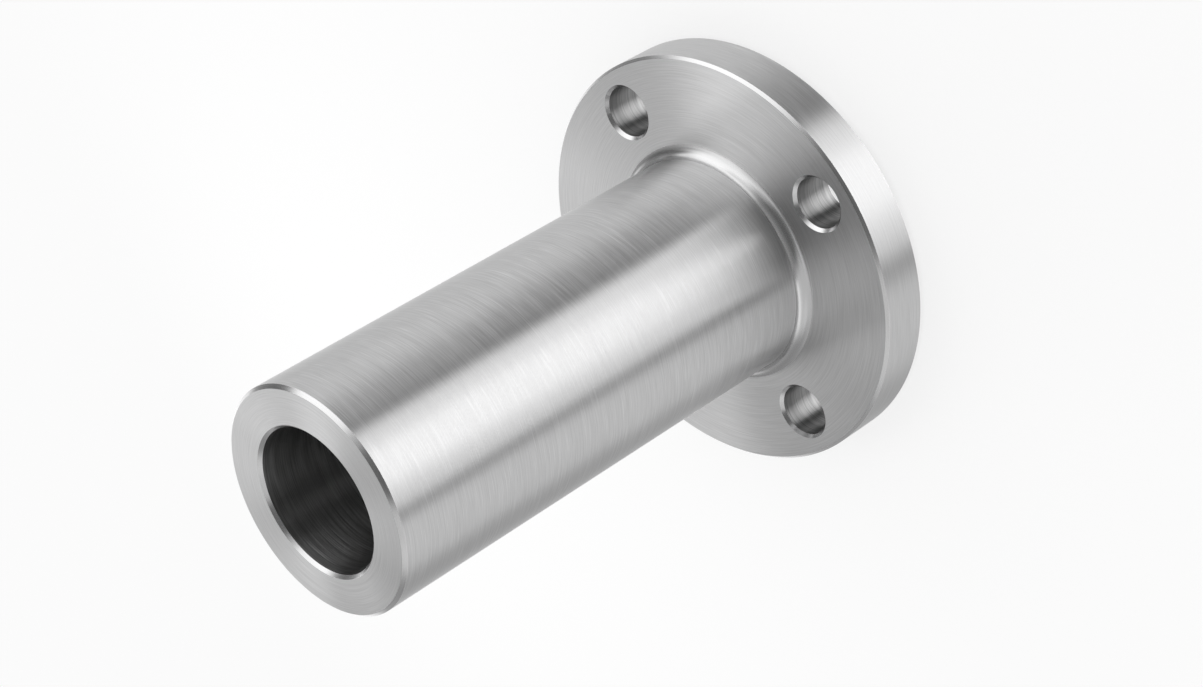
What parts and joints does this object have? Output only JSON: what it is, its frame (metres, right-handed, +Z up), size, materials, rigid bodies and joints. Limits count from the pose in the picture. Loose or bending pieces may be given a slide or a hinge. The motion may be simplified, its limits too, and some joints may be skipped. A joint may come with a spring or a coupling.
{
  "type": "long weld neck flange",
  "caption": "Long weld neck flange: a bolted disc with a raised gasket face and a long thick-walled straight neck that welds to a vessel or pipe, with a straight bore.",
  "frame": {"origin": "centre of the raised gasket face, which the part stands on", "axes": "+Z up the bore from the gasket face to the weld end; the bolt holes straddle X and Y"},
  "size_m": [0.1524, 0.1524, 0.2065],
  "materials": {
    "steel": "fine turned stainless steel, with circular tool marks on every face"
  },
  "bodies": {
    "root": {"long_weld_neck": "steel"}
  },
  "joints": []
}
